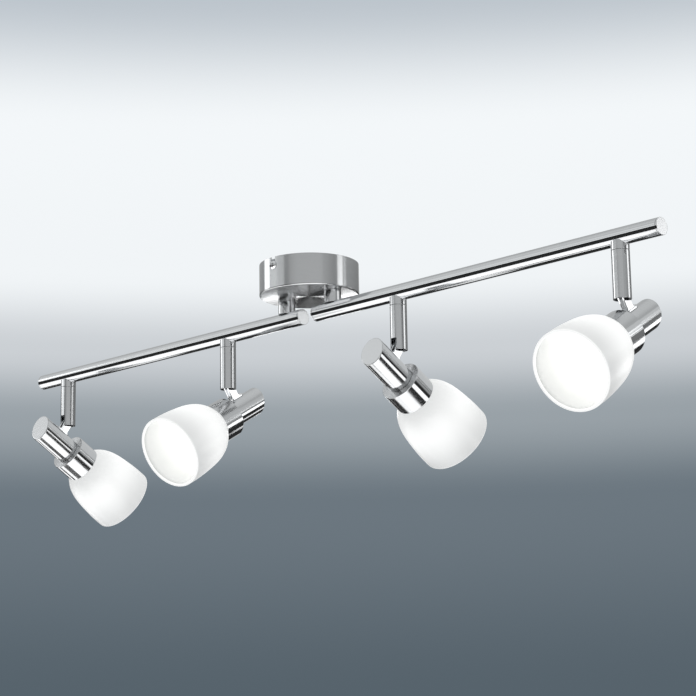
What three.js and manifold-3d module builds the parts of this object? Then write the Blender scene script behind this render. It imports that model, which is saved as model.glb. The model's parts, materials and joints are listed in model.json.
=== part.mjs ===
// Four-light ceiling spot bar: a round canopy, two swivelling arm tubes and four tilting spots.
// Millimetres, +Z up. The origin is the centre of the mounting bracket's ceiling face, so the
// whole fixture hangs below z = 0. The arms lie along X, with arm tubes on either side of x = 0.

import * as THREE from 'three';
import { mergeVertices } from 'three/addons/utils/BufferGeometryUtils.js';
import Module from 'manifold-3d';

const wasm = await Module();
wasm.setup();

// ---------------------------------------------------------------- driving dimensions

const GAP = 0.3; // clearance between pieces that rest on each other
const RUN_GAP = 0.5; // radial clearance between a faceted shaft and the bore it turns in

const CANOPY_RADIUS = 50;
const CANOPY_HEIGHT = 32.2;
const CANOPY_WALL = 1.2;
const CANOPY_EDGE = 1.4; // rounding of the lower edge
const CANOPY_SCREW_DROP = 8.6; // screw centre below the ceiling
const CANOPY_SCREW_HEAD = 4.4; // head radius
const SCREW_SHANK = 2;
const NOTCH_HALF = 2.8; // half width of the notch in the canopy rim

const STRAP_THICKNESS = 2; // mounting bracket sheet
const STRAP_WIDTH = 16;
const STRAP_REACH = 46; // from the centre to the outside of an ear
const EAR_DROP = 14;

const POST_X = 32.7; // swivel axis of each arm
const POST_RADIUS = 8.6;
const SPIGOT_RADIUS = 5; // threaded spigot through the canopy floor
const SPIGOT_TOP = -21;
const POST_SEAT = -45; // where the post's saddle ends on the arm tube
const WIRE_BORE = 3;

const ARM_Z = -51.4; // axis of the arm tubes
const ARM_RADIUS = 8.1;
const ARM_WALL = 1.2;
const ARM_INNER_END = 9.1;
const ARM_OUTER_END = 432.6;
const CAP_THICKNESS = 1.4;
const CAP_PLUG = 6;

const STEM_RADIUS = 8.25;
const STEM_WALL = 1.25;
const STUB_SEAT = -56.3; // where the stub's saddle starts under the arm tube
const STEM_TOP = -64.5; // seam between the fixed stub and the turning stem
const STEM_BOTTOM = -108.2;
const STUB_SPIGOT = 12; // length of the stub's spigot inside the stem
const SLOT_WIDTH = 7;
const SLOT_TOP = -97;

const PIVOT_Z = -103.5; // tilt axis
const PIN_RADIUS = 1.7;
const PIN_HEAD = 2.8;
const LUG_THICKNESS = 2.6;
const EAR_THICKNESS = 1.6; // yoke ears on either side of the lug
const EYE_RADIUS = 5;
const FOOT_FRONT = -8; // ends of the yoke's foot along the head, from the tilt axis
const FOOT_BACK = 13;
const FOOT_WIDTH = 8;
const FOOT_THICKNESS = 1.4;
const EAR_FRONT = -3.8; // ends of the ears where they meet the foot
const EAR_BACK = 5.5;
const RIVET_RADIUS = 2.2;
const RIVETS = [-5.8, 9.5];

// Spot head, given by its distance behind the tilt axis and by stations along its own axis,
// counted from the centre of the closed end (0) to the open mouth of the shade.
const HEAD_OFFSET = 29.4; // tilt axis to head axis
const HEAD_BACK = 28; // tilt axis to the closed end, along the head
const SLEEVE_RADIUS = 13.6;
const SLEEVE_WALL = 1.2;
const SLEEVE_END_SLOPE = 0.268; // the closed end is cut 15 degrees off square
const SLEEVE_END_WALL = 1.6;
const CUP_RADIUS = 20.9;
const CUP_WALL = 1.2;
const CUP_START = 45.3;
const CUP_END = 70.2;
const HOLDER_RADIUS = 11.6;
const HOLDER_START = 13;
const HOLDER_END = 68;
const SOCKET_RADIUS = 7.3;
const SOCKET_DEPTH = 23.3;
const RING_RADIUS = 16.4;
const GLASS_THICKNESS = 2.4;
const GLASS_NECK = 19.3; // outer radius inside the cup
const GLASS_START = 60;
const GLASS_HOLE = 13.6;
const MOUTH = 137.8;
const BULB_CAP_RADIUS = 6.9;
const BULB_RADIUS = 22.5;
const BULB_CENTRE = 97.5;
const BULB_NECK_ANGLE = 2.35; // radians from the front of the ball to the neck

const TILT = 60; // degrees from straight down, as modelled
const SPOTS = [
  { name: 'spot_1', x: -387.1, pan: 0.5 },
  { name: 'spot_2', x: -121.1, pan: 180.5 },
  { name: 'spot_3', x: 121.1, pan: 1.5 },
  { name: 'spot_4', x: 387.1, pan: 182 },
];

const FINE = 36; // sides of the canopy
const ROUND = 20; // sides of tubes and shades
const SMALL = 12; // sides of small turned pieces
const FAR = 200; // cutting tools reach well past the piece

// ---------------------------------------------------------------- materials

const finishes = {
  satin: { color: 0xb4b7b8, roughness: 0.28, metalness: 1 },
  chrome: { color: 0xe6e8ea, roughness: 0.06, metalness: 1 },
  zinc: { color: 0x9fa3a6, roughness: 0.45, metalness: 1 },
  opal: { color: 0xf7f6f2, roughness: 0.35, metalness: 0 },
  lamp: { color: 0xfffbf0, roughness: 0.4, metalness: 0 },
  holder: { color: 0xe9e6dc, roughness: 0.55, metalness: 0 },
  terminal: { color: 0xf1f1ee, roughness: 0.4, metalness: 0 },
};

function piece(name, geometry, finish) {
  const mesh = new THREE.Mesh(geometry, new THREE.MeshStandardMaterial(finishes[finish]));
  mesh.name = name;
  return mesh;
}

// ---------------------------------------------------------------- shape helpers

// Revolves [radius, z] points about Z.
function revolve(points, sides = ROUND) {
  const profile = points.map(([radius, z]) => new THREE.Vector2(radius, z));
  return new THREE.LatheGeometry(profile, sides).rotateX(Math.PI / 2);
}

// A solid or hollow cylinder along Z between two heights.
function drum(radius, low, high, sides = ROUND, bore = 0) {
  if (bore === 0) {
    return revolve([[0, low], [radius, low], [radius, high], [0, high]], sides);
  }
  const section = [[bore, low], [radius, low], [radius, high], [bore, high], [bore, low]];
  return revolve(section, sides);
}

function block(x0, x1, y0, y1, z0, z1) {
  const box = new THREE.BoxGeometry(x1 - x0, y1 - y0, z1 - z0);
  return box.translate((x0 + x1) / 2, (y0 + y1) / 2, (z0 + z1) / 2);
}

const alongX = (geometry) => geometry.rotateY(Math.PI / 2);
const alongY = (geometry) => geometry.rotateX(-Math.PI / 2);

function solid(geometry) {
  const bare = geometry.clone();
  bare.deleteAttribute('normal');
  bare.deleteAttribute('uv');
  const merged = mergeVertices(bare, 1e-4);
  return new wasm.Manifold(new wasm.Mesh({
    numProp: 3,
    vertProperties: new Float32Array(merged.attributes.position.array),
    triVerts: new Uint32Array(merged.index.array),
  }));
}

function geometryOf(manifold) {
  const mesh = manifold.getMesh();
  const geometry = new THREE.BufferGeometry();
  geometry.setAttribute('position', new THREE.BufferAttribute(mesh.vertProperties, 3));
  geometry.setIndex(new THREE.BufferAttribute(mesh.triVerts, 1));
  geometry.computeVertexNormals();
  return geometry;
}

// The first geometry joined with the `added` ones, then cut by the `removed` ones.
function carve(geometry, { added = [], removed = [] }) {
  let body = solid(geometry);
  for (const extra of added) body = body.add(solid(extra));
  for (const tool of removed) body = body.subtract(solid(tool));
  return geometryOf(body);
}

// ---------------------------------------------------------------- canopy and ceiling side

function canopyCup() {
  const outer = CANOPY_RADIUS;
  const inner = outer - CANOPY_WALL;
  const floor = -CANOPY_HEIGHT;
  const bend = CANOPY_EDGE * (1 - Math.SQRT1_2);
  const shell = revolve([
    [0, floor], [outer - CANOPY_EDGE, floor], [outer - bend, floor + bend],
    [outer, floor + CANOPY_EDGE], [outer, 0], [inner, 0],
    [inner, floor + CANOPY_WALL], [0, floor + CANOPY_WALL],
  ], FINE);
  const postHoles = [-POST_X, POST_X].map((x) => (
    drum(SPIGOT_RADIUS + RUN_GAP + 0.1, floor - 1, floor + 3).translate(x, 0, 0)));
  // Each notch lets the canopy slide up past its screw; the screw sits at the notch's round end.
  const notches = [-1, 1].flatMap((side) => {
    const depth = [side * (outer - 4), side * (outer + 4)].sort((a, b) => a - b);
    const slot = block(-NOTCH_HALF, NOTCH_HALF, ...depth, -CANOPY_SCREW_DROP, 2);
    const end = alongY(drum(NOTCH_HALF, -4, 4, SMALL)).translate(0, side * outer, -CANOPY_SCREW_DROP);
    return [slot, end];
  });
  return piece('canopy_cup', carve(shell, { removed: [...postHoles, ...notches] }), 'satin');
}

function mountingBracket() {
  const half = STRAP_WIDTH / 2;
  const ears = [-1, 1].map((side) => {
    const ear = [side * (STRAP_REACH - STRAP_THICKNESS), side * STRAP_REACH].sort((a, b) => a - b);
    return block(-half, half, ...ear, -EAR_DROP, -STRAP_THICKNESS / 2);
  });
  const screwSlots = [-1, 1].map((side) => {
    const reach = [side * 22, side * 34].sort((a, b) => a - b);
    return block(-2.3, 2.3, ...reach, -STRAP_THICKNESS - 1, 1);
  });
  const tapped = alongY(drum(SCREW_SHANK + GAP, -FAR, FAR, SMALL)).translate(0, 0, -CANOPY_SCREW_DROP);
  const strap = block(-half, half, -STRAP_REACH, STRAP_REACH, -STRAP_THICKNESS, 0);
  const shape = carve(strap, { added: ears, removed: [...screwSlots, tapped] });
  return piece('mounting_bracket', shape, 'zinc');
}

// A pan-head screw with a driver slot, its axis along Y and its head outward.
function canopyScrew(name, side) {
  const seat = CANOPY_RADIUS + GAP;
  const head = CANOPY_SCREW_HEAD;
  const screw = revolve([
    [0, seat - 12], [SCREW_SHANK, seat - 12], [SCREW_SHANK, seat], [head, seat],
    [head, seat + 1.2], [head * 0.72, seat + 2.4], [0, seat + 2.8],
  ], SMALL);
  const slot = block(-0.6, 0.6, -FAR, FAR, seat + 1.6, seat + 4);
  const shape = carve(screw, { removed: [slot.rotateZ(0.6)] });
  const turned = shape.rotateX(side > 0 ? -Math.PI / 2 : Math.PI / 2);
  return piece(name, turned.translate(0, 0, -CANOPY_SCREW_DROP), 'chrome');
}

function terminalBlock() {
  const poles = [-9, 0, 9];
  const top = -STRAP_THICKNESS - GAP;
  const body = block(-14, 14, -8, 8, top - 13, top);
  const wireWays = poles.map((x) => alongY(drum(1.8, -FAR, FAR, 8)).translate(x, 0, top - 8));
  const screwWells = poles.map((x) => drum(2.1, top - 20, top - 9, 8).translate(x, 4, 0));
  const shape = carve(body, { removed: [...wireWays, ...screwWells] });
  return piece('terminal_block', shape, 'terminal');
}

// ---------------------------------------------------------------- arms

function armTube(side) {
  const length = ARM_OUTER_END - ARM_INNER_END - 2 * (CAP_THICKNESS + GAP);
  const start = ARM_INNER_END + CAP_THICKNESS + GAP;
  const tube = alongX(drum(ARM_RADIUS, start, start + length, ROUND, ARM_RADIUS - ARM_WALL));
  const postBore = drum(WIRE_BORE, 0, 20, 8).translate(POST_X, 0, 0);
  const stemBores = SPOTS.filter((spot) => spot.x > 0).map((spot) => (
    drum(WIRE_BORE, -20, 0, 8).translate(spot.x, 0, 0)));
  const shape = carve(tube, { removed: [postBore, ...stemBores] });
  return shape.rotateZ(side > 0 ? 0 : Math.PI).translate(0, 0, ARM_Z);
}

// A turned plug with a flat face, closing one end of an arm tube. It faces +X or -X.
function armCap(faceX, facing) {
  const plug = ARM_RADIUS - ARM_WALL - GAP;
  const cap = revolve([
    [0, -CAP_THICKNESS - CAP_PLUG], [plug, -CAP_THICKNESS - CAP_PLUG], [plug, -CAP_THICKNESS],
    [ARM_RADIUS, -CAP_THICKNESS], [ARM_RADIUS, 0], [0, 0],
  ]);
  return alongX(cap).rotateZ(facing > 0 ? 0 : Math.PI).translate(faceX, 0, ARM_Z);
}

// The saddle-cut post that carries an arm, with a threaded spigot up into the canopy.
function armPost(side) {
  const shoulder = -CANOPY_HEIGHT - GAP;
  const post = revolve([
    [0, POST_SEAT], [POST_RADIUS, POST_SEAT], [POST_RADIUS, shoulder],
    [SPIGOT_RADIUS, shoulder], [SPIGOT_RADIUS, SPIGOT_TOP], [0, SPIGOT_TOP],
  ]);
  const saddle = alongX(drum(ARM_RADIUS + GAP, -20, 20)).translate(0, 0, ARM_Z);
  const bore = drum(WIRE_BORE, ARM_Z, 0, 8);
  return carve(post, { removed: [saddle, bore] }).translate(side * POST_X, 0, 0);
}

function postNut(side) {
  const low = -CANOPY_HEIGHT + CANOPY_WALL + GAP;
  const nut = drum(8.1, low, low + 4, 6);
  const bore = drum(SPIGOT_RADIUS + GAP, low - 1, low + 5);
  return carve(nut, { removed: [bore] }).translate(side * POST_X, 0, 0);
}

function arm(name, side) {
  const group = new THREE.Group();
  group.add(
    piece(`${name}_arm_tube`, armTube(side), 'satin'),
    piece(`${name}_arm_inner_cap`, armCap(side * ARM_INNER_END, -side), 'satin'),
    piece(`${name}_arm_outer_cap`, armCap(side * ARM_OUTER_END, side), 'satin'),
    piece(`${name}_post`, armPost(side), 'satin'),
    piece(`${name}_post_nut`, postNut(side), 'zinc'),
  );
  return group;
}

// ---------------------------------------------------------------- stems

// The short stub brazed under the arm tube; the stem turns on its spigot.
function stemStub() {
  const spigot = STEM_RADIUS - STEM_WALL - RUN_GAP;
  const seam = STEM_TOP + GAP;
  const stub = revolve([
    [0, STEM_TOP - STUB_SPIGOT], [spigot, STEM_TOP - STUB_SPIGOT], [spigot, seam],
    [STEM_RADIUS, seam], [STEM_RADIUS, STUB_SEAT], [0, STUB_SEAT],
  ]);
  const saddle = alongX(drum(ARM_RADIUS + GAP, -20, 20)).translate(0, 0, ARM_Z);
  const bore = drum(WIRE_BORE, -FAR, 0, 8);
  return carve(stub, { removed: [saddle, bore] });
}

// The stem tube. Its lower end has a slot on the -Y side that lets the yoke swing out.
function stemTube() {
  const tube = drum(STEM_RADIUS, STEM_BOTTOM, STEM_TOP, ROUND, STEM_RADIUS - STEM_WALL);
  const slot = block(-SLOT_WIDTH / 2, SLOT_WIDTH / 2, -20, 0, STEM_BOTTOM - 1, SLOT_TOP);
  return carve(tube, { removed: [slot] });
}

// A plug fixed inside the stem, with a flat lug that carries the pivot pin.
function hingeLug() {
  const plugBottom = SLOT_TOP + 1;
  const plug = drum(STEM_RADIUS - STEM_WALL - RUN_GAP, plugBottom, plugBottom + 11, SMALL);
  const half = LUG_THICKNESS / 2;
  const tongue = block(-half, half, -4.2, 4.2, PIVOT_Z, plugBottom + 1);
  const tip = alongX(drum(4.2, -half, half, SMALL)).translate(0, 0, PIVOT_Z);
  const hole = alongX(drum(PIN_RADIUS + GAP, -5, 5, SMALL)).translate(0, 0, PIVOT_Z);
  const wireWay = drum(1.6, PIVOT_Z, 0, 8).translate(3.6, 0, 0);
  return carve(plug, { added: [tongue, tip], removed: [hole, wireWay] });
}

function pivotPin() {
  const headInside = LUG_THICKNESS / 2 + EAR_THICKNESS + 2 * GAP;
  const end = headInside + 1;
  const pin = revolve([
    [0, -end], [PIN_HEAD, -end], [PIN_HEAD, -headInside], [PIN_RADIUS, -headInside],
    [PIN_RADIUS, headInside], [PIN_HEAD, headInside], [PIN_HEAD, end], [0, end],
  ], SMALL);
  return alongX(pin).translate(0, 0, PIVOT_Z);
}

// ---------------------------------------------------------------- spot head
// Head frame: origin on the tilt axis, +X along the tilt axis, +Y from the head towards the
// stem, +Z towards the closed end. The head axis lies at y = -HEAD_OFFSET.

const station = (distance) => HEAD_BACK - distance;
const onAxis = (geometry) => geometry.translate(0, -HEAD_OFFSET, 0);
const turned = (points, sides = ROUND) => (
  onAxis(revolve(points.map(([radius, at]) => [radius, station(at)]), sides)));

// Two ears and a saddle foot in one piece; the ears hang on the pivot pin.
function yoke() {
  const footTop = -HEAD_OFFSET + SLEEVE_RADIUS + GAP + FOOT_THICKNESS;
  const foot = block(-FOOT_WIDTH / 2, FOOT_WIDTH / 2, footTop - 4, footTop, FOOT_FRONT, FOOT_BACK);
  const rivets = RIVETS.map((z) => alongY(drum(RIVET_RADIUS, -1, 1, SMALL)).translate(0, footTop, z));
  const outline = new THREE.Shape();
  outline.absarc(0, 0, EYE_RADIUS, -Math.PI / 2, Math.PI / 2);
  outline.lineTo(footTop - 0.5, EAR_BACK);
  outline.lineTo(footTop - 0.5, EAR_FRONT);
  const inside = LUG_THICKNESS / 2 + GAP;
  const ears = [inside, -inside - EAR_THICKNESS].map((x) => (
    // The outline is drawn in (y, z); the extrusion's depth becomes x.
    new THREE.ExtrudeGeometry(outline, { depth: EAR_THICKNESS, bevelEnabled: false, curveSegments: 5 })
      .applyMatrix4(new THREE.Matrix4().makeBasis(
        new THREE.Vector3(0, 1, 0), new THREE.Vector3(0, 0, 1), new THREE.Vector3(1, 0, 0)))
      .translate(x, 0, 0)));
  const hole = alongX(drum(PIN_RADIUS + GAP, -10, 10, SMALL));
  const sleeveSaddle = onAxis(drum(SLEEVE_RADIUS + GAP, -20, 20));
  return carve(foot, { added: [...ears, ...rivets], removed: [hole, sleeveSaddle] });
}

// A block whose lower face is the slanted plane of the sleeve's closed end, `depth` further in.
function endCutter(depth) {
  const slab = block(-FAR, FAR, -FAR, FAR, 0, FAR);
  slab.rotateX(Math.atan(SLEEVE_END_SLOPE));
  return onAxis(slab.translate(0, 0, station(depth)));
}

function sleeve() {
  const front = CUP_START - GAP;
  const outer = turned([[0, front], [SLEEVE_RADIUS, front], [SLEEVE_RADIUS, -10], [0, -10]]);
  const boreRadius = SLEEVE_RADIUS - SLEEVE_WALL;
  const bore = turned([[0, front + 1], [boreRadius, front + 1], [boreRadius, -10], [0, -10]]);
  const cavity = carve(bore, { removed: [endCutter(SLEEVE_END_WALL)] });
  return carve(outer, { removed: [endCutter(0), cavity] });
}

function shadeCup() {
  const inner = CUP_RADIUS - CUP_WALL;
  const hole = HOLDER_RADIUS + RUN_GAP;
  return turned([
    [hole, CUP_START], [CUP_RADIUS, CUP_START], [CUP_RADIUS, CUP_END], [inner, CUP_END],
    [inner, CUP_START + CUP_WALL], [hole, CUP_START + CUP_WALL], [hole, CUP_START],
  ].reverse());
}

function lampHolder() {
  return turned([
    [0, HOLDER_START], [HOLDER_RADIUS - 2, HOLDER_START], [HOLDER_RADIUS, HOLDER_START + 2],
    [HOLDER_RADIUS, HOLDER_END], [SOCKET_RADIUS, HOLDER_END],
    [SOCKET_RADIUS, HOLDER_END - SOCKET_DEPTH], [0, HOLDER_END - SOCKET_DEPTH],
  ].reverse(), SMALL);
}

function shadeRing() {
  const start = GLASS_START + GLASS_THICKNESS + GAP;
  const bore = HOLDER_RADIUS + RUN_GAP;
  return turned([
    [bore, start], [RING_RADIUS, start], [RING_RADIUS, start + 2], [bore + 1.6, start + 2],
    [bore + 1.6, start + 5], [bore, start + 5], [bore, start],
  ].reverse(), SMALL);
}

// The bell of the shade, as a curve of (radius, station) from its shoulder to its mouth.
const bell = new THREE.SplineCurve([
  new THREE.Vector2(21.0, CUP_END + GAP),
  new THREE.Vector2(25.7, 75.8),
  new THREE.Vector2(30.0, 82.6),
  new THREE.Vector2(33.3, 92),
  new THREE.Vector2(35.3, 104),
  new THREE.Vector2(36.9, 122),
  new THREE.Vector2(37.1, MOUTH),
]);

function glassShade() {
  const outside = bell.getSpacedPoints(6);
  const inside = outside.map((point, index) => {
    const tangent = bell.getTangentAt(index / (outside.length - 1));
    return new THREE.Vector2(point.x - tangent.y * GLASS_THICKNESS, point.y + tangent.x * GLASS_THICKNESS);
  });
  inside[inside.length - 1].set(outside.at(-1).x - GLASS_THICKNESS, MOUTH);
  const neckInside = GLASS_NECK - GLASS_THICKNESS;
  const floor = GLASS_START + GLASS_THICKNESS;
  const profile = [
    [GLASS_HOLE, GLASS_START], [GLASS_NECK, GLASS_START], [GLASS_NECK, CUP_END],
    ...outside.map((point) => [point.x, point.y]),
    ...inside.slice(1).reverse().map((point) => [point.x, point.y]),
    [neckInside, CUP_END], [neckInside, floor], [GLASS_HOLE, floor], [GLASS_HOLE, GLASS_START],
  ];
  return turned(profile.reverse());
}

function bulb() {
  const capBottom = HOLDER_END - SOCKET_DEPTH + GAP;
  const steps = 6;
  const ball = Array.from({ length: steps }, (_, index) => {
    const angle = BULB_NECK_ANGLE * (1 - index / steps);
    return [BULB_RADIUS * Math.sin(angle), BULB_CENTRE + BULB_RADIUS * Math.cos(angle)];
  });
  return turned([
    [0, capBottom], [3.5, capBottom], [BULB_CAP_RADIUS, capBottom + 3],
    [BULB_CAP_RADIUS, HOLDER_END + GAP], [10, HOLDER_END + 2], ...ball,
    [0, BULB_CENTRE + BULB_RADIUS],
  ].reverse(), SMALL);
}

function spotHead(name) {
  const head = new THREE.Group();
  head.add(
    piece(`${name}_yoke`, yoke(), 'chrome'),
    piece(`${name}_sleeve`, sleeve(), 'satin'),
    piece(`${name}_shade_cup`, shadeCup(), 'satin'),
    piece(`${name}_lamp_holder`, lampHolder(), 'holder'),
    piece(`${name}_shade_ring`, shadeRing(), 'holder'),
    piece(`${name}_glass_shade`, glassShade(), 'opal'),
    piece(`${name}_bulb`, bulb(), 'lamp'),
  );
  head.position.z = PIVOT_Z;
  head.rotation.x = THREE.MathUtils.degToRad(TILT);
  return head;
}

// One spot: the fixed stub, and the stem and head turned to the spot's pan angle. At pan 0 the
// mouth of the shade points to +Y.
function spot({ name, x, pan }) {
  const turning = new THREE.Group();
  turning.add(
    piece(`${name}_stem_tube`, stemTube(), 'satin'),
    piece(`${name}_hinge_lug`, hingeLug(), 'zinc'),
    piece(`${name}_pivot_pin`, pivotPin(), 'chrome'),
    spotHead(name),
  );
  turning.rotation.z = THREE.MathUtils.degToRad(pan);
  const group = new THREE.Group();
  group.add(piece(`${name}_stem_stub`, stemStub(), 'satin'), turning);
  group.position.x = x;
  return group;
}

// ---------------------------------------------------------------- assembly

const fixture = new THREE.Group();
fixture.add(
  canopyCup(),
  mountingBracket(),
  canopyScrew('canopy_screw_front', -1),
  canopyScrew('canopy_screw_rear', 1),
  terminalBlock(),
  arm('left', -1),
  arm('right', 1),
  ...SPOTS.map(spot),
);

export default fixture;
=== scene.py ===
"""Looks for the four-light ceiling spot bar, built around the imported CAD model.

The frame is the CAD model's: metres, +Z up, the ceiling face at z = 0 and the arms along X.
Outlines are written in millimetres. Every turned piece is made about its own Z axis, so that the
brushed metal can follow its turning marks.
"""

import json
from math import acos, atan2, cos, degrees, hypot, pi, radians, sin, sqrt, tan, tau

import bmesh
import bpy
from mathutils import Matrix, Vector


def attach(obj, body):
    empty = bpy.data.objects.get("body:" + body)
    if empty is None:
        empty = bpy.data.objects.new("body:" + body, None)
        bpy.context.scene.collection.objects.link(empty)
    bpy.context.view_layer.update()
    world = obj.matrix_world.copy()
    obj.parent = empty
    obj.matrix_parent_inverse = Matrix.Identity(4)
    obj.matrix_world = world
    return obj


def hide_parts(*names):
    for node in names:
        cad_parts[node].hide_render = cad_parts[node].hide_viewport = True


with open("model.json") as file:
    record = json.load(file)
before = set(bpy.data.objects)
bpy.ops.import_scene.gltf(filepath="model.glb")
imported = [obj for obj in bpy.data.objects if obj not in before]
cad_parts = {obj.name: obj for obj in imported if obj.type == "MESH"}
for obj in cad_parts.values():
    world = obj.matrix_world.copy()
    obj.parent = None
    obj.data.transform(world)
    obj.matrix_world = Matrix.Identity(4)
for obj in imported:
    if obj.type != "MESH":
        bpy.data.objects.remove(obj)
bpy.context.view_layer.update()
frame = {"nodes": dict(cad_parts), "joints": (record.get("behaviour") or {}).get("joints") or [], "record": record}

# ---- the CAD frame

MM = 0.001
BODIES = frame["record"]["behaviour"]["bodies"]
BODY_OF = {node: body for body, nodes in BODIES.items() for node in nodes}
SLOT_OF = {entry["node"]: entry["material_slot"] for entry in frame["record"]["subparts"]}
JOINTS = {joint["name"]: joint for joint in frame["joints"]}
SPOTS = ("spot_1", "spot_2", "spot_3", "spot_4")
ARMS = ("left", "right")
CANOPY_SCREWS = {"canopy_screw_front": -1, "canopy_screw_rear": 1}  # node: its side, along Y


def box_mm(node, at=Matrix.Identity(4)):
    """Lowest and highest corner of a CAD node in the frame `at`, in millimetres."""
    back = at.inverted()
    points = [back @ vertex.co for vertex in frame["nodes"][node].data.vertices]
    low = Vector([min(point[axis] for point in points) for axis in range(3)])
    high = Vector([max(point[axis] for point in points) for axis in range(3)])
    return low / MM, high / MM


def stem_frame(spot):
    """Upright frame on a spot's turning axis, its -Y side holding the slot, at ceiling height."""
    x, y, _ = JOINTS[spot + "_pan"]["pos_m"]
    tilt_axis = Vector(JOINTS[spot + "_tilt"]["axis"])
    pan = atan2(tilt_axis.y, tilt_axis.x)
    return Matrix.Translation((x, y, 0)) @ Matrix.Rotation(pan, 4, "Z")


def head_frame(spot):
    """Origin on the tilt axis, +X along it, +Z towards the closed end. At the low limit +Z is upright."""
    joint = JOINTS[spot + "_tilt"]
    pivot = Matrix.Translation((0, 0, joint["pos_m"][2]))
    tilt = Matrix.Rotation(radians(-joint["range_deg"][0]), 4, "X")
    return stem_frame(spot) @ pivot @ tilt


def holder_frame(spot):
    """The head's own axis: origin in the closed end, +Z pointing back out of it."""
    head = head_frame(spot)
    low, high = box_mm(spot + "_shade_cup", head)
    closed_end = JOINT_TO_CLOSED_END * MM
    return head @ Matrix.Translation((0, (low.y + high.y) / 2 * MM, closed_end))


def middle_z(node):
    low, high = box_mm(node)
    return (low.z + high.z) / 2


def swivel_x(arm):
    """Where an arm's post stands along the bar, in millimetres."""
    return JOINTS[arm + "_arm_swivel"]["pos_m"][0] / MM


def tube_line(arm):
    """Height of an arm tube's axis, and the tube's radius, in millimetres."""
    low, high = box_mm(arm + "_arm_tube")
    return (low.z + high.z) / 2, (high.z - low.z) / 2


def sleeve_line():
    """Where a sleeve's axis lies from the tilt axis, and its radius, in millimetres."""
    low, high = box_mm("spot_1_sleeve", head_frame("spot_1"))
    return (low.y + high.y) / 2, high.x


# ---- driving dimensions, mm

FINE_SIDES = 160  # canopy
GLASS_SIDES = 128
TUBE_SIDES = 96
SMALL_SIDES = 48
HOLE_SIDES = 24
FILLET_STEPS = 5
HOLD = 0.12  # short flat kept beside each fillet, so that its shading stays on the fillet
ON_AXIS = 1e-6  # a ring smaller than this is one point on the axis
WELD = 1e-7  # in metres: points closer than this become one

SHEET = 1.2  # wall of the canopy, tubes, sleeve and shade cup
CRISP = 0.25  # broken edge of a tube end
CANOPY_CORNER = 1.4
CANOPY_INSIDE_CORNER = 0.8
SPIGOT = 5.0
SPIGOT_HOLE = 5.6
NOTCH_HALF = 2.8
PAN_HEAD = 2.8  # height of a canopy screw's head
THREAD_PITCH = 1.0
THREAD_DEPTH = 0.4
WIRE_BORE = 3.0

JOINT_TO_CLOSED_END = 28.0
SLEEVE_END_SLOPE = 0.268  # the closed end is cut 15 degrees off square
SLEEVE_END_WALL = 1.6

SLOT_WIDTH = 7.0
SLOT_TOP = -97.0
EAR_THICKNESS = 1.6
EAR_INSIDE = 1.6  # from the middle plane to an ear
EYE_RADIUS = 5.0
FOOT_THICKNESS = 1.4
FOOT_HALF = 4.0
FOOT_GAP = 0.25  # from the sleeve to the foot
RIVETS = (-5.8, 9.5)
RIVET_RADIUS = 2.2
PIN_RADIUS = 1.7
PIN_CLEARANCE = 0.15

LAMP_CENTRE = 97.5  # ball of the lamp, from the closed end
MOUTH = 137.8  # rim of the glass, from the closed end
GLASS_THICKNESS = 2.4
# Outside of the bell as (radius, distance behind the mouth).
BELL = (
    (21.0, 67.3), (25.7, 62.0), (30.0, 55.2), (33.3, 45.8), (35.3, 33.8), (36.9, 15.8), (37.1, 0.0),
)
BELL_STEPS = 8  # outline points between two of those

# ---- mesh helpers


def sharpen(mesh, limit=30):
    """Smooth shading everywhere, with an edge where two faces meet at more than `limit` degrees."""
    for face in mesh.faces:
        face.smooth = True
    for edge in mesh.edges:
        turn = edge.calc_face_angle(0) if len(edge.link_faces) == 2 else 0
        edge.smooth = turn < radians(limit)


def new_object(name, data):
    made = bpy.data.objects.new(name, data)
    bpy.context.scene.collection.objects.link(made)
    return made


def object_from(name, mesh):
    """An object from a bmesh, which is used up, with its faces turned outwards."""
    bmesh.ops.recalc_face_normals(mesh, faces=mesh.faces)
    sharpen(mesh)
    data = bpy.data.meshes.new(name)
    mesh.to_mesh(data)
    mesh.free()
    return new_object(name, data)


def arc(centre, radius, start, end, steps):
    """Points on an arc, both ends included, with the angles in degrees."""
    turns = [radians(start + (end - start) * step / steps) for step in range(steps + 1)]
    return [(centre[0] + radius * cos(a), centre[1] + radius * sin(a)) for a in turns]


def circle(centre, radius):
    return arc(centre, radius, 0, 360 - 360 / HOLE_SIDES, HOLE_SIDES - 1)


def rectangle(half_width, half_height):
    corners = ((-1, -1), (1, -1), (1, 1), (-1, 1))
    return [(x * half_width, y * half_height) for x, y in corners]


def rounded(corners, closed=False, hold=HOLD):
    """Outline through (x, y) or (x, y, fillet) corners. A fillet is an arc between holding points."""
    outline = []
    for index, (x, y, *fillet) in enumerate(corners):
        corner = Vector((x, y))
        at_end = not closed and index in (0, len(corners) - 1)
        if not fillet or at_end:
            outline.append(tuple(corner))
            continue
        back = (Vector(corners[index - 1][:2]) - corner).normalized()
        ahead = (Vector(corners[(index + 1) % len(corners)][:2]) - corner).normalized()
        half = back.angle(ahead) / 2
        reach = fillet[0] / tan(half)
        centre = corner + (back + ahead).normalized() * (fillet[0] / sin(half))
        start = corner + back * reach - centre
        end = corner + ahead * reach - centre
        first = degrees(atan2(start.y, start.x))
        turn = degrees(atan2(end.y, end.x)) - first
        turn = (turn + 180) % 360 - 180
        outline.append(tuple(centre + start + back * hold))
        outline += arc(centre, fillet[0], first, first + turn, FILLET_STEPS)
        outline.append(tuple(centre + end + ahead * hold))
    return outline


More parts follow.
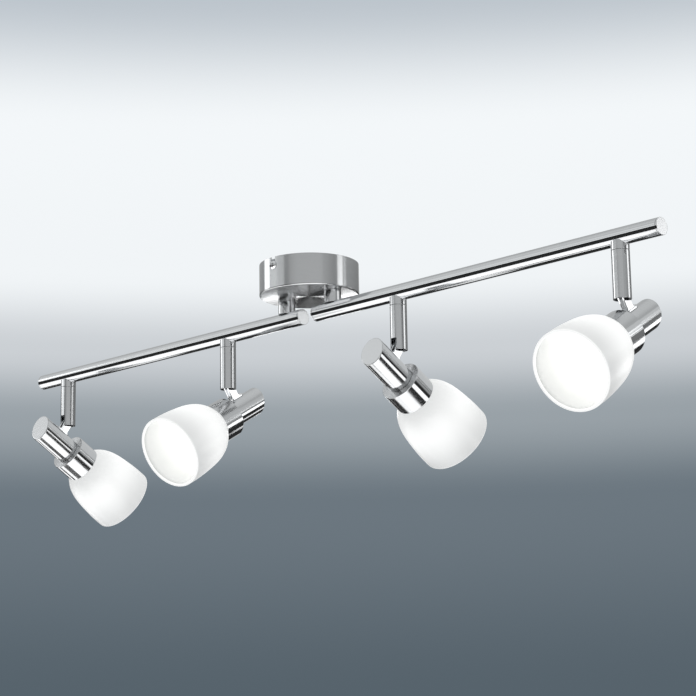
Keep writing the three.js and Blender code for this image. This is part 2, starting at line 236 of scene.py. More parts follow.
def lathe(name, outline, sides=TUBE_SIDES, closed=False, changes=()):
    """Turns (radius, height) points about Z. `changes` numbers the points where a material starts."""
    mesh = bmesh.new()
    around = [tau * side / sides for side in range(sides)]
    rings = []
    for radius, height in outline:
        if radius < ON_AXIS:
            rings.append([mesh.verts.new((0, 0, height * MM))] * sides)
            continue
        rings.append([
            mesh.verts.new((radius * cos(turn) * MM, radius * sin(turn) * MM, height * MM))
            for turn in around
        ])
    following = rings[1:] + rings[:1] if closed else rings[1:]
    for index, (ring, after) in enumerate(zip(rings, following)):
        for side in range(sides):
            across = (side + 1) % sides
            corners = dict.fromkeys((ring[side], ring[across], after[across], after[side]))
            if len(corners) > 2:
                face = mesh.faces.new(list(corners))
                face.material_index = sum(index >= change for change in changes)
    return object_from(name, mesh)


def drill(radius, low, high, sides=SMALL_SIDES):
    """A plain round cutter on the Z axis."""
    return lathe("drill", [(0, low), (radius, low), (radius, high), (0, high)], sides)


def prism(name, outline, low, high, basis):
    """Extrudes a closed (u, v) outline from `low` to `high` along the third column of `basis`."""
    mesh = bmesh.new()
    ends = [
        [mesh.verts.new(basis @ Vector((u, v, depth)) * MM) for u, v in outline]
        for depth in (low, high)
    ]
    mesh.faces.new(ends[0])
    mesh.faces.new(ends[1])
    for index in range(len(outline)):
        after = (index + 1) % len(outline)
        mesh.faces.new((ends[0][index], ends[0][after], ends[1][after], ends[1][index]))
    return object_from(name, mesh)


UPRIGHT = Matrix.Identity(3)  # outline in (x, y), extruded along z
ALONG_X = Matrix(((0, 0, 1), (1, 0, 0), (0, 1, 0)))  # outline in (y, z), extruded along x
ALONG_Y = Matrix(((1, 0, 0), (0, 0, 1), (0, 1, 0)))  # outline in (x, z), extruded along y


def paint(piece, first, flat, least=0.9):
    """Gives a turned piece one finish, and another on the faces square to its axis."""
    piece.data.materials.clear()
    for finish in (first, flat):
        piece.data.materials.append(MATERIALS[finish])
    for face in piece.data.polygons:
        face.material_index = int(abs(face.normal.z) > least)
    return piece


def modified(piece):
    """The mesh that a piece's modifiers make of it."""
    evaluated = piece.evaluated_get(bpy.context.evaluated_depsgraph_get())
    return bpy.data.meshes.new_from_object(evaluated)


def apply_modifiers(piece):
    """Applies the modifiers, and welds and sharpens the result."""
    mesh = bmesh.new()
    mesh.from_mesh(modified(piece))
    bmesh.ops.remove_doubles(mesh, verts=mesh.verts, dist=WELD)
    bmesh.ops.dissolve_degenerate(mesh, edges=mesh.edges, dist=WELD)
    sharpen(mesh)
    piece.modifiers.clear()
    mesh.to_mesh(piece.data)
    mesh.free()
    return piece


def combine(piece, operation, *others):
    """Joins or cuts a piece with others, which are used up."""
    for other in others:
        boolean = piece.modifiers.new(operation, "BOOLEAN")
        boolean.operation = operation
        boolean.solver = "EXACT"
        boolean.object = other
    bpy.context.view_layer.update()
    apply_modifiers(piece)
    for other in others:
        bpy.data.objects.remove(other)
    return piece


def cut(piece, *others):
    return combine(piece, "DIFFERENCE", *others)


def soften(piece, width, segments=3, limit=40):
    """Rounds every edge sharper than `limit` degrees."""
    bevel = piece.modifiers.new("bevel", "BEVEL")
    bevel.width = width * MM
    bevel.segments = segments
    bevel.limit_method = "ANGLE"
    bevel.angle_limit = radians(limit)
    return apply_modifiers(piece)


def level(piece):
    """Keeps large flat faces flat in reflections, so that only the rounded edges bend."""
    piece.modifiers.new("level", "WEIGHTED_NORMAL").keep_sharp = True
    piece.data = modified(piece)
    piece.modifiers.clear()
    return piece


def moved(piece, matrix):
    """Bakes a placement into a piece's own mesh."""
    piece.data.transform(matrix)
    return piece


def shift(x, y, z):
    return Matrix.Translation((x * MM, y * MM, z * MM))


LYING = Matrix.Rotation(pi / 2, 4, "Y")  # turns a piece's Z axis to X


# ---- material helpers


class Nodes:
    """Builds a node tree: an input given as a socket becomes a link, and any other value is set."""

    def __init__(self, tree):
        self.tree = tree

    def add(self, kind, inputs=None, **settings):
        node = self.tree.nodes.new("ShaderNode" + kind)
        for key, value in settings.items():
            setattr(node, key, value)
        self.fill(node, inputs or {})
        return node

    def fill(self, node, inputs):
        for key, value in inputs.items():
            if isinstance(value, bpy.types.NodeSocket):
                self.tree.links.new(value, node.inputs[key])
            else:
                node.inputs[key].default_value = value

    def math(self, operation, first, second=0.0):
        return self.add("Math", {0: first, 1: second}, operation=operation).outputs[0]

    def times(self, first, second):
        return self.math("MULTIPLY", first, second)

    def noise(self, scale, detail=2.0, vector=None):
        """A noise in the piece's own coordinates, or in those of `vector`."""
        inputs = {"Vector": vector or self.place(), "Scale": scale, "Detail": detail}
        return self.add("TexNoise", inputs).outputs["Fac"]

    def spread(self, value, low, high, start=0.3, end=0.7, curve="LINEAR"):
        """Maps `start` to `low` and `end` to `high`; the defaults suit a noise value."""
        inputs = {"Value": value, "From Min": start, "From Max": end, "To Min": low, "To Max": high}
        return self.add("MapRange", inputs, interpolation_type=curve).outputs["Result"]

    def mix(self, amount, first, second):
        """Mixes two colours. The Mix node's sockets 6, 7 and output 2 are the colour ones."""
        return self.add("Mix", {0: amount, 6: first, 7: second}, data_type="RGBA").outputs[2]

    def bump(self, height, strength, distance):
        inputs = {"Height": height, "Strength": strength, "Distance": distance * MM}
        return self.add("Bump", inputs).outputs["Normal"]

    def place(self):
        return self.add("TexCoord").outputs["Object"]

    def axes(self):
        return self.add("SeparateXYZ", {"Vector": self.place()}).outputs


class Finish(Nodes):
    """A new material, whose `surface` is its Principled shader."""

    def __init__(self, name):
        self.material = bpy.data.materials.new(name)
        self.material.use_nodes = True
        super().__init__(self.material.node_tree)
        self.surface = self.tree.nodes["Principled BSDF"]

    def done(self, **inputs):
        """Fills the shader's sockets, named with _ for a space, and gives the material."""
        self.fill(self.surface, {key.replace("_", " "): value for key, value in inputs.items()})
        return self.material


def turned_rings(look, rings_per_mm):
    """Coordinates in which a noise makes fine rings about the piece's own Z axis."""
    x, y, z = look.axes()
    squares = look.math("ADD", look.times(x, x), look.times(y, y))
    rings_per_metre = rings_per_mm / MM
    changes_per_metre = 60.0
    across = look.times(look.math("SQRT", squares), rings_per_metre)
    along = look.times(z, rings_per_metre)
    drift = look.times(look.math("ADD", x, y), changes_per_metre)
    return look.add("CombineXYZ", {"X": across, "Y": along, "Z": drift}).outputs["Vector"]


def satin_nickel(name, smooth, rough, anisotropy):
    """Satin nickel plate: a fine grain round the axis, and reflections drawn out across it."""
    look = Finish(name)
    grain = look.noise(1.0, detail=3.0, vector=turned_rings(look, rings_per_mm=6.0))
    cloud = look.noise(35.0)
    shade = look.spread(grain, 0.0, 1.0)
    own_roughness = look.spread(grain, smooth, rough)
    return look.done(
        Base_Color=look.mix(shade, (0.65, 0.66, 0.67, 1), (0.73, 0.74, 0.75, 1)),
        Metallic=1.0,
        Roughness=look.math("ADD", own_roughness, look.spread(cloud, -0.01, 0.01)),
        Anisotropic=anisotropy,
        Anisotropic_Rotation=0.25,
        Tangent=look.add("Tangent", direction_type="RADIAL", axis="Z").outputs["Tangent"],
        Normal=look.bump(grain, strength=0.006, distance=0.02),
    )


def chrome():
    """Bright chrome plate with a trace of handling."""
    look = Finish("chrome")
    smear = look.noise(220.0, detail=4.0)
    waviness = look.noise(90.0)
    return look.done(
        Base_Color=look.mix(smear, (0.80, 0.81, 0.82, 1), (0.88, 0.89, 0.90, 1)),
        Metallic=1.0,
        Roughness=look.spread(smear, 0.03, 0.09),
        Normal=look.bump(waviness, strength=0.05, distance=0.05),
    )


def zinc_steel():
    """Dull zinc plate: mottled crystals over rolled steel."""
    look = Finish("zinc_steel")
    crystals = look.add("TexVoronoi", {"Vector": look.place(), "Scale": 420.0})
    crystal = crystals.outputs["Distance"]
    cloud = look.noise(120.0, detail=4.0)
    return look.done(
        Base_Color=look.mix(cloud, (0.40, 0.42, 0.44, 1), (0.58, 0.60, 0.61, 1)),
        Metallic=1.0,
        Roughness=look.spread(crystal, 0.34, 0.5, start=0.0, end=0.6),
        Normal=look.bump(crystal, strength=0.15, distance=0.05),
    )


def brass():
    """Turned brass of the terminal screws."""
    look = Finish("brass")
    grain = look.noise(1.0, vector=turned_rings(look, rings_per_mm=3.0))
    return look.done(
        Base_Color=look.mix(grain, (0.66, 0.47, 0.20, 1), (0.78, 0.60, 0.30, 1)),
        Metallic=1.0,
        Roughness=look.spread(grain, 0.22, 0.34),
    )


GLOW_RISE = 35  # the painted glow changes from the neck's to the lamp's over this length, in millimetres
RIM_SHADE_SPAN = (2.6, 1.8)  # where the painted shade beside the rim starts and is full, behind the mouth


def opal_glass(name, neck, middle, mouth, fade=40.0, edge=False):
    """Opal glass with a satin skin and a painted glow, emission that stands in for the lamp's light through the
    glass: at the neck, beside the lamp and at the mouth, where it fades over the last `fade` millimetres. `edge`
    paints shade: it greys the corner beside the rim."""
    look = Finish(name)
    height = look.axes()[2]
    station = look.times(height, -1 / MM)
    # Painted glow: the emission stands in for the lamp's light through the glass, and fades towards the mouth.
    glow = look.spread(station, neck, middle, LAMP_CENTRE - GLOW_RISE, LAMP_CENTRE, "SMOOTHSTEP")
    near_mouth = look.spread(station, 0.0, 1.0, MOUTH - fade, MOUTH, "SMOOTHSTEP")
    ripple = look.noise(30.0, detail=1.0)
    skin = look.noise(900.0)
    glass = look.mix(ripple, (0.80, 0.81, 0.81, 1), (0.85, 0.86, 0.86, 1))
    # Painted shade: the base colour turns grey in the corner beside the rim.
    if edge:
        painted_rim_shade = look.spread(station, 0.0, 1.0, *(MOUTH - behind for behind in RIM_SHADE_SPAN))
        glass = look.mix(painted_rim_shade, glass, (0.50, 0.51, 0.51, 1))
    return look.done(
        Base_Color=glass,
        Roughness=look.spread(skin, 0.26, 0.34),
        Emission_Color=(1.0, 0.997, 0.985, 1),
        Emission_Strength=look.spread(near_mouth, glow, mouth, 0.0, 1.0),
        Normal=look.bump(ripple, strength=0.04, distance=0.4),
    )


def lamp_dome():
    """Frosted ball of the lamp, lit."""
    look = Finish("lamp_dome")
    frost = look.noise(1500.0)
    return look.done(
        Base_Color=look.mix(frost, (0.94, 0.93, 0.90, 1), (0.98, 0.97, 0.95, 1)),
        Roughness=look.spread(frost, 0.35, 0.5),
        Emission_Color=(1.0, 0.985, 0.94, 1),
        Emission_Strength=0.8,
        Normal=look.bump(frost, strength=0.1, distance=0.02),
    )


def moulding(name, dark, light, roughness):
    """Moulded plastic: a faint sparkle of surface texture and a slightly uneven tone."""
    look = Finish(name)
    texture = look.noise(2500.0, detail=3.0)
    unevenness = look.noise(160.0)
    return look.done(
        Base_Color=look.mix(unevenness, dark, light),
        Roughness=look.spread(texture, roughness - 0.05, roughness + 0.08),
        Normal=look.bump(texture, strength=0.15, distance=0.02),
    )


MATERIALS = {
    "satin_nickel": satin_nickel("satin_nickel", smooth=0.085, rough=0.115, anisotropy=0.85),
    "brushed_nickel": satin_nickel("brushed_nickel", smooth=0.16, rough=0.22, anisotropy=0.75),
    "turned_face": satin_nickel("turned_face", smooth=0.21, rough=0.27, anisotropy=1.0),
    "satin_face": satin_nickel("satin_face", smooth=0.13, rough=0.17, anisotropy=0.0),
    "chrome": chrome(),
    "zinc_steel": zinc_steel(),
    # The shade's glass pieces carry a painted glow in their emission.
    "opal_glass": opal_glass("opal_glass", neck=0.40, middle=0.62, mouth=0.36),
    # Painted glow: the rim glows brighter than the rest.
    "opal_glass_painted_glow_rim": opal_glass("opal_glass_painted_glow_rim", neck=0.6, middle=0.6, mouth=0.6),
    # Painted glow, dim inside and fading out at the mouth, with painted shade beside the rim.
    "opal_glass_painted_glow_and_shade_inside": opal_glass("opal_glass_painted_glow_and_shade_inside", 0.18, 0.18, 0.0, fade=8.0, edge=True),
    "lamp_dome": lamp_dome(),
    "holder_plastic": moulding("holder_plastic", (0.80, 0.78, 0.72, 1), (0.86, 0.84, 0.79, 1), 0.5),
    "terminal_plastic": moulding(
        "terminal_plastic", (0.84, 0.84, 0.81, 1), (0.90, 0.90, 0.88, 1), 0.32),
    "brass": brass(),
}


def stand_for(node, piece, at=Matrix.Identity(4), name=None, material=None):
    """Puts a piece in place of a CAD node, on its body, with its slot's finish."""
    piece.name = name or node + "_fine"
    piece.matrix_world = at
    slot = SLOT_OF[node]
    if not piece.data.materials:
        piece.data.materials.append(MATERIALS[material or slot])
    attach(piece, BODY_OF[node])
    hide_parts(node)
    return piece


def copy_of(piece):
    return new_object(piece.name, piece.data)


# ---- canopy and ceiling side


def cross_recess(size, depth, top):
    """Two bars that cut a cross into a screw head whose top is at height `top`."""
    half_length, half_width = size / 2, 0.55
    return [
        prism("bar", outline, top - depth, top + 2, UPRIGHT)
        for outline in (rectangle(half_length, half_width), rectangle(half_width, half_length))
    ]


def thread(radius, low, high):
    """A thread's crests and roots between two heights, going up."""
    turns = int((high - low) / THREAD_PITCH)
    points = []
    for turn in range(turns):
        height = low + turn * THREAD_PITCH
        points += [(radius - THREAD_DEPTH, height), (radius, height + THREAD_PITCH / 2)]
    return points


def make_canopy():
    """The cup, with a hole for each post and a notch in the rim for each screw."""
    low, high = box_mm("canopy_cup")
    radius, floor = high.x, low.z
    inner = radius - SHEET
    shell = lathe("canopy", rounded([
        (0, floor), (radius, floor, CANOPY_CORNER), (radius, 0, CRISP), (inner, 0, CRISP),
        (inner, floor + SHEET, CANOPY_INSIDE_CORNER), (0, floor + SHEET),
    ]), FINE_SIDES)
    holes = []
    for arm in ARMS:
        hole = drill(SPIGOT_HOLE, -3, 3)
        holes.append(moved(hole, shift(swivel_x(arm), 0, floor + SHEET / 2)))
    for screw, side in CANOPY_SCREWS.items():
        drop = middle_z(screw)
        notch = [(NOTCH_HALF, 2), (NOTCH_HALF, drop)]
        notch += arc((0, drop), NOTCH_HALF, 0, -180, 12)[1:]
        notch += [(-NOTCH_HALF, 2)]
        depth = sorted((side * (radius - 4), side * (radius + 4)))
        holes.append(prism("notch", notch, *depth, ALONG_Y))
    cut(shell, *holes)
    stand_for("canopy_cup", paint(shell, "brushed_nickel", "turned_face"))


def make_canopy_screw(node, side):
    low, high = box_mm(node)
    head, shank = high.x, 2.0
    tip = PAN_HEAD - (high.y - low.y)
    dome = (head * head + PAN_HEAD * PAN_HEAD) / (2 * PAN_HEAD)
    edge = degrees(acos(head / dome))
    outline = rounded([(0, tip), (shank - 0.4, tip, 0.3), (shank, tip + 1), (shank, 0), (head, 0)])
    outline += arc((0, PAN_HEAD - dome), dome, edge, 90, 12)[1:-1] + [(0, PAN_HEAD)]
    screw = lathe("screw", outline, SMALL_SIDES)
    cut(screw, *cross_recess(head * 1.25, 1.3, PAN_HEAD))
    outward = Matrix.Rotation(-side * pi / 2, 4, "X")
    face = (high.y - PAN_HEAD) if side > 0 else (low.y + PAN_HEAD)
    recess_turn = Matrix.Rotation(radians(25), 4, "Z")
    stand_for(node, screw, shift(0, face, middle_z(node)) @ outward @ recess_turn)


def make_bracket():
    """A strap with ears for the canopy screws, and a slot on each side of the cable hole."""
    low, high = box_mm("mounting_bracket")
    reach, ear = high.y, -low.z
    sheet, outer_bend, inner_bend = 2.0, 2.4, 0.5
    inner = reach - sheet
    corners = [
        (-reach, -ear), (-reach, 0, outer_bend), (reach, 0, outer_bend), (reach, -ear),
        (inner, -ear), (inner, -sheet, inner_bend), (-inner, -sheet, inner_bend), (-inner, -ear),
    ]
    strap = prism("strap", rounded(corners, closed=True, hold=0.0), low.x, high.x, ALONG_X)
    cutters = []
    slot_middle, half_length, half_width = 28, 6, 2.3
    for side in (-1, 1):
        middle = side * slot_middle
        slot = arc((0, middle + half_length - half_width), half_width, 0, 180, 12)
        slot += arc((0, middle - half_length + half_width), half_width, 180, 360, 12)
        cutters.append(prism("slot", slot, -5, 5, UPRIGHT))
    cable_hole, tapped_hole = 5, 2.3
    cutters.append(prism("cable_hole", circle((0, 0), cable_hole), -5, 5, UPRIGHT))
    tapped = circle((0, middle_z("canopy_screw_front")), tapped_hole)
    cutters.append(prism("tapped", tapped, -reach - 5, reach + 5, ALONG_Y))
    cut(strap, *cutters)
    soften(strap, 0.25, 2)
    stand_for("mounting_bracket", level(strap))


def make_terminal_block():
    """Three poles side by side, each with a way for the wires and two screws in wells."""
    low, high = box_mm("terminal_block")
    poles = (-9.0, 0.0, 9.0)
    rows = {"front": -4, "rear": 4}
    waist, foot = high.z - 9.5, low.z + 1.0
    outline = []
    for x in poles:
        outline += [(x - 4.5, waist), (x - 3.4, foot), (x - 2.4, low.z), (x + 2.4, low.z), (x + 3.4, foot)]
    outline += [(high.x, waist), (high.x, high.z), (low.x, high.z), (low.x, waist)]
    housing = prism("terminal", outline, low.y, high.y, ALONG_Y)
    well, way, screw_radius, screw_height = 2.1, 1.8, 1.7, 1.6
    wells = [moved(drill(well, 0, 6), shift(x, y, low.z - 2)) for x in poles for y in rows.values()]
    ways = [prism("way", circle((x, high.z - 8), way), low.y - 2, high.y + 2, ALONG_Y) for x in poles]
    cut(housing, *wells, *ways)
    soften(housing, 0.3, 2)
    stand_for("terminal_block", level(housing))
    side = [(screw_radius, 0, 0.3), (screw_radius, screw_height, 0.2)]
    screw_outline = rounded([(0, 0), *side, (0, screw_height)])
    for number, x in enumerate(poles, 1):
        for row, y in rows.items():
            screw = lathe("screw", screw_outline, SMALL_SIDES)
            cut(screw, prism("slot", rectangle(2, 0.3), -1, 0.7, UPRIGHT))
            name = f"terminal_screw_{row}_{number}"
            stand_for("terminal_block", screw, shift(x, y, low.z + 1.2), name, "brass")


# ---- arms


def make_arm(arm):
    low, high = box_mm(arm + "_arm_tube")
    middle, radius = tube_line(arm)
    on_line = shift(0, 0, middle)
    inner = radius - SHEET
    tube = lathe("tube", rounded([
        (inner, low.x, 0.1), (radius, low.x, 0.3), (radius, high.x, 0.3), (inner, high.x, 0.1),
    ], closed=True), closed=True)
    stand_for(arm + "_arm_tube", tube, on_line @ LYING)
    plug, flange = inner - 0.3, 1.4
    for end in ("inner", "outer"):
        node = f"{arm}_arm_{end}_cap"
        cap_low, cap_high = box_mm(node)
        face, back, turn = cap_high.x, cap_low.x, Matrix.Identity(4)
        if abs(cap_high.x - high.x) > abs(cap_low.x - low.x):
            face, back, turn = -cap_low.x, -cap_high.x, Matrix.Rotation(pi, 4, "Z")
        cap = lathe("cap", rounded([
            (0, back), (plug, back, 0.4), (plug, face - flange), (radius, face - flange, 0.3),
            (radius, face, 0.3), (0, face),
        ]))
        stand_for(node, paint(cap, "satin_nickel", "satin_face"), on_line @ turn @ LYING)


def arm_saddle(radius, at_z):
    """The shape of an arm tube, for cutting the seats that fit round it."""
    return moved(drill(radius, -30, 30, TUBE_SIDES), shift(0, 0, at_z) @ LYING)


def make_post(arm):
    """A seat for the arm tube below, and a threaded and bored spigot above."""
    node = arm + "_post"
    low, high = box_mm(node)
    radius = (high.y - low.y) / 2
    shoulder = box_mm("canopy_cup")[0].z - 0.3
    outline = rounded([(0, low.z), (radius, low.z, 0.1), (radius, shoulder, 0.3), (SPIGOT, shoulder)])
    outline += thread(SPIGOT, shoulder + 0.5, high.z - 0.4)
    outline += [(SPIGOT - THREAD_DEPTH, high.z), (0, high.z)]
    post = lathe("post", outline)
    arm_z, arm_radius = tube_line(arm)
    cut(post, arm_saddle(arm_radius + 0.2, arm_z), drill(WIRE_BORE, arm_z, 5))
    stand_for(node, post, shift(swivel_x(arm), 0, 0))


def make_post_nut(arm):
    node = arm + "_post_nut"
    low, high = box_mm(node)
    flat = (high.y - low.y) / 2
    corner = flat / cos(pi / 6) if high.x - low.x > high.y - low.y else flat
    turns = [pi / 3 * side + pi / 6 for side in range(6)]
    hexagon = [(corner * cos(turn), corner * sin(turn)) for turn in turns]
    nut = prism("nut", hexagon, low.z, high.z, UPRIGHT)
    under, over = low.z - 1, high.z + 1
    combine(nut, "INTERSECT", lathe("cone", [
        (0, under), (corner - 1.2, under), (corner - 0.7, low.z), (corner + 0.1, low.z + 0.7),
        (corner + 0.1, high.z - 0.7), (corner - 0.7, high.z), (corner - 1.2, over), (0, over),
    ]))
    bore, opened = 5.3, 6.2
    cut(nut, lathe("bore", [
        (0, under), (opened, under), (bore, low.z + 0.5), (bore, high.z - 0.5), (opened, over), (0, over),
    ]))
    stand_for(node, nut, shift(swivel_x(arm), 0, 0))


# ---- stems


def stub_mesh():
    low, high = box_mm("spot_1_stem_stub")
    seam = box_mm("spot_1_stem_tube")[1].z + 0.3
    radius, spigot, over = (high.y - low.y) / 2, 6.5, high.z + 1
    stub = lathe("stub", rounded([
        (0, low.z), (spigot, low.z, 0.4), (spigot, seam), (radius, seam, 0.2), (radius, over), (0, over),
    ]))
    arm_z, arm_radius = tube_line("left")
    top = prism("top", rectangle(20, 20), arm_z - 4.6, arm_z + 30, UPRIGHT)
    bore = drill(WIRE_BORE, low.z - 5, arm_z)
    return cut(stub, top, arm_saddle(arm_radius + 0.1, arm_z), bore)


def stem_mesh():
    """The stem tube, with a slot in the lower end of its -Y side."""
    low, high = box_mm("spot_1_stem_tube", stem_frame("spot_1"))
    radius = high.x
    inner = radius - 1.25
    tube = lathe("stem", rounded([
        (inner, low.z, 0.15), (radius, low.z, CRISP), (radius, high.z, CRISP), (inner, high.z, 0.15),
    ], closed=True), closed=True)
    half, bottom, corner = SLOT_WIDTH / 2, low.z - 2, 1.0
    slot = [(half, bottom), (half, SLOT_TOP - corner)]
    slot += arc((half - corner, SLOT_TOP - corner), corner, 0, 90, 5)[1:]
    slot += arc((-half + corner, SLOT_TOP - corner), corner, 90, 180, 5) + [(-half, bottom)]
    return cut(tube, prism("slot", slot, -20, 0, ALONG_Y))


def pin_hole(height, reach):
    return prism("hole", circle((0, height), PIN_RADIUS + PIN_CLEARANCE), -reach, reach, ALONG_X)


def lug_mesh():
    """A plug with a tongue for the pivot pin and a way for the wires."""
    top = box_mm("spot_1_hinge_lug", stem_frame("spot_1"))[1].z
    pivot = JOINTS["spot_1_tilt"]["pos_m"][2] / MM
    radius, foot = 6.4, SLOT_TOP + 1
    plug = lathe("plug", rounded([(0, foot), (radius, foot, 0.4), (radius, top, 0.4), (0, top)]))
    tip, half_tongue = 4.2, 1.3
    outline = arc((0, pivot), tip, 180, 360, 16) + [(tip, foot + 1), (-tip, foot + 1)]
    combine(plug, "UNION", prism("tongue", outline, -half_tongue, half_tongue, ALONG_X))
    way = moved(drill(1.6, -120, 0), shift(3.6, 0, 0))
    return level(cut(plug, pin_hole(pivot, 5), way))


def pin_mesh():
    end = box_mm("spot_1_pivot_pin", stem_frame("spot_1"))[1].x
    head, inside = 2.8, end - 1.0
    return lathe("pin", rounded([
        (0, -end), (head, -end, 0.45), (head, -inside, 0.1), (PIN_RADIUS, -inside),
        (PIN_RADIUS, inside), (head, inside, 0.1), (head, end, 0.45), (0, end),
    ]), SMALL_SIDES)


# ---- spot heads


def foot_mesh(low_z, high_z, axis_y, seat):
    """A curved plate with round ends that lies on the sleeve, in the head frame."""
    foot = bmesh.new()
    rows, columns = 48, 20
    layers = []
    for thickness in (0.0, FOOT_THICKNESS):
        grid = []
        for row in range(rows + 1):
            turn = pi * row / rows
            z = (low_z + high_z) / 2 - (high_z - low_z) / 2 * cos(turn)
            from_end = min(z - low_z, high_z - z)
            inset = max(0.0, FOOT_HALF - from_end)
            half = sqrt(max(FOOT_HALF ** 2 - inset ** 2, 0.01))  # never quite a point
            line = []
            for column in range(columns + 1):
                x = half * (2 * column / columns - 1)
                y = axis_y + sqrt(seat ** 2 - x ** 2) + thickness
                line.append(foot.verts.new(Vector((x, y, z)) * MM))
            grid.append(line)
        layers.append(grid)
    for grid in layers:
        for row, after in zip(grid, grid[1:]):
            for column in range(columns):
                foot.faces.new((row[column], row[column + 1], after[column + 1], after[column]))
    rim = [(row, 0) for row in range(rows)] + [(rows, column) for column in range(columns)]
    rim += [(row, columns) for row in range(rows, 0, -1)]
    rim += [(0, column) for column in range(columns, 0, -1)]
    under, over = layers
    for (row, column), (next_row, next_column) in zip(rim, rim[1:] + rim[:1]):
        foot.faces.new((
            under[row][column], under[next_row][next_column],
            over[next_row][next_column], over[row][column]))
    return object_from("yoke", foot)


def yoke_mesh():
    """Two ears on a curved foot that follows the sleeve, in the head frame."""
    low, high = box_mm("spot_1_yoke", head_frame("spot_1"))
    axis_y, sleeve_radius = sleeve_line()
    seat = sleeve_radius + FOOT_GAP
    yoke = soften(foot_mesh(low.z, high.z, axis_y, seat), 0.35, 3, 50)
    # An ear's outline: the eye, a hollow behind it down to the foot, and a small one in front.
    base = axis_y + seat + FOOT_THICKNESS - 0.6
    hollow, small_hollow = 3.0, 1.6
    outline = arc((0, 0), EYE_RADIUS, -90, 90, 20) + [(base + 3.6, EYE_RADIUS + 0.2)]
    outline += arc((base + 3.6, EYE_RADIUS + 3.2), hollow, 270, 180, 8)[1:]
    outline += [(base, EYE_RADIUS + 3.2), (base, -4.6)]
    outline += arc((base + 2.4, -5.6), small_hollow, 128, 90, 4) + [(base + 2.6, -4.0)]
    for side in (-1, 1):
        near, far = sorted((side * EAR_INSIDE, side * (EAR_INSIDE + EAR_THICKNESS)))
        ear = soften(prism("ear", outline, near, far, ALONG_X), 0.25, 3, 50)
        combine(yoke, "UNION", ear)
    return level(cut(yoke, pin_hole(0, 10)))


def rivet_mesh():
    """A domed rivet head with a set point in the middle, its axis on Z."""
    return lathe("rivet", rounded([
        (0, -0.8), (RIVET_RADIUS, -0.8), (RIVET_RADIUS, 0.15, 0.3), (RIVET_RADIUS * 0.6, 0.75, 1.0),
        (0.55, 0.8, 0.2), (0.3, 0.45), (0, 0.4),
    ], hold=0.03), SMALL_SIDES)


def stations(points):
    """Outline points from (radius, distance from the closed end) to (radius, height)."""
    return [(radius, -station, *fillet) for radius, station, *fillet in points]


def measures(part):
    """Radius of one of the first spot's turned parts, and its two ends from the closed end."""
    low, high = box_mm("spot_1_" + part, holder_frame("spot_1"))
    return high.x, -high.z, -low.z


def sleeve_mesh():
    """The sleeve, whose closed end is slanted by shearing what lies behind the plain tube."""
    radius, _, front = measures("sleeve")
    inner, plain_from = radius - SHEET, 12.0
    sleeve = lathe("sleeve", rounded(stations([
        (0, 0), (radius, 0, 0.7), (radius, plain_from), (radius, front, 0.15), (inner, front, 0.15),
        (inner, plain_from), (inner, SLEEVE_END_WALL, 0.3), (0, SLEEVE_END_WALL),
    ])))
    for vertex in sleeve.data.vertices:
        if vertex.co.z > (-plain_from + 0.5) * MM:
            vertex.co.z += SLEEVE_END_SLOPE * vertex.co.y
    return paint(sleeve, "satin_nickel", "satin_face")


def cup_mesh():
    radius, start, end = measures("shade_cup")
    inner, hole = radius - SHEET, 12.1
    cup = lathe("cup", rounded(stations([
        (hole, start, 0.2), (radius, start, 0.6), (radius, end, 0.2), (inner, end, 0.2),
        (inner, start + SHEET, 0.5), (hole, start + SHEET, 0.2),
    ]), closed=True), closed=True)
    return paint(cup, "satin_nickel", "turned_face")


def holder_mesh():
    """A chamfered back, a thread for the shade ring and a socket for the lamp."""
    radius, start, end = measures("lamp_holder")
    chamfer, plain_to, socket, socket_floor = 2, 58, 7.3, end - 23
    outline = rounded(stations([
        (0, start), (radius - chamfer, start, 0.6), (radius, start + chamfer, 0.6), (radius, plain_to),
    ]))
    outline += stations(thread(radius, plain_to + 0.5, end - 1))
    outline += rounded(stations([
        (radius - 0.4, end), (radius - 0.6, end, 0.3), (socket, end, 0.3), (socket, socket_floor, 0.3),
        (0, socket_floor),
    ]))[1:]
    return lathe("holder", outline, SMALL_SIDES * 2)


def ring_mesh():
    radius, start, end = measures("shade_ring")
    bore, hub, flange = 12.0, 13.8, 2
    ring = lathe("ring", rounded(stations([
        (bore, start, 0.2), (radius, start, 0.3), (radius, start + flange, 0.4),
        (hub, start + flange + 0.2, 0.3), (hub, end, 0.4), (bore, end, 0.2),
    ]), closed=True), closed=True)
    notches, notch_scale, flange_from = 12, 0.965, 15 * MM
    for vertex in ring.data.vertices:
        across = hypot(vertex.co.x, vertex.co.y)
        around = atan2(vertex.co.y, vertex.co.x)
        if across > flange_from and cos(notches * around) > 0.3:
            vertex.co.x *= notch_scale
            vertex.co.y *= notch_scale
    return ring


def smooth_through(points, steps):
    """A Catmull-Rom curve through the points."""
    knots = [Vector(point) for point in points]
    knots = [2 * knots[0] - knots[1], *knots, 2 * knots[-1] - knots[-2]]
    curve = []
    for before, start, end, after in zip(knots, knots[1:], knots[2:], knots[3:]):
        for step in range(steps):
            t = step / steps
            curve.append(0.5 * (
                2 * start + (end - before) * t + (2 * before - 5 * start + 4 * end - after) * t * t
                + (3 * start - before - 3 * end + after) * t ** 3))
    return curve + [knots[-2]]


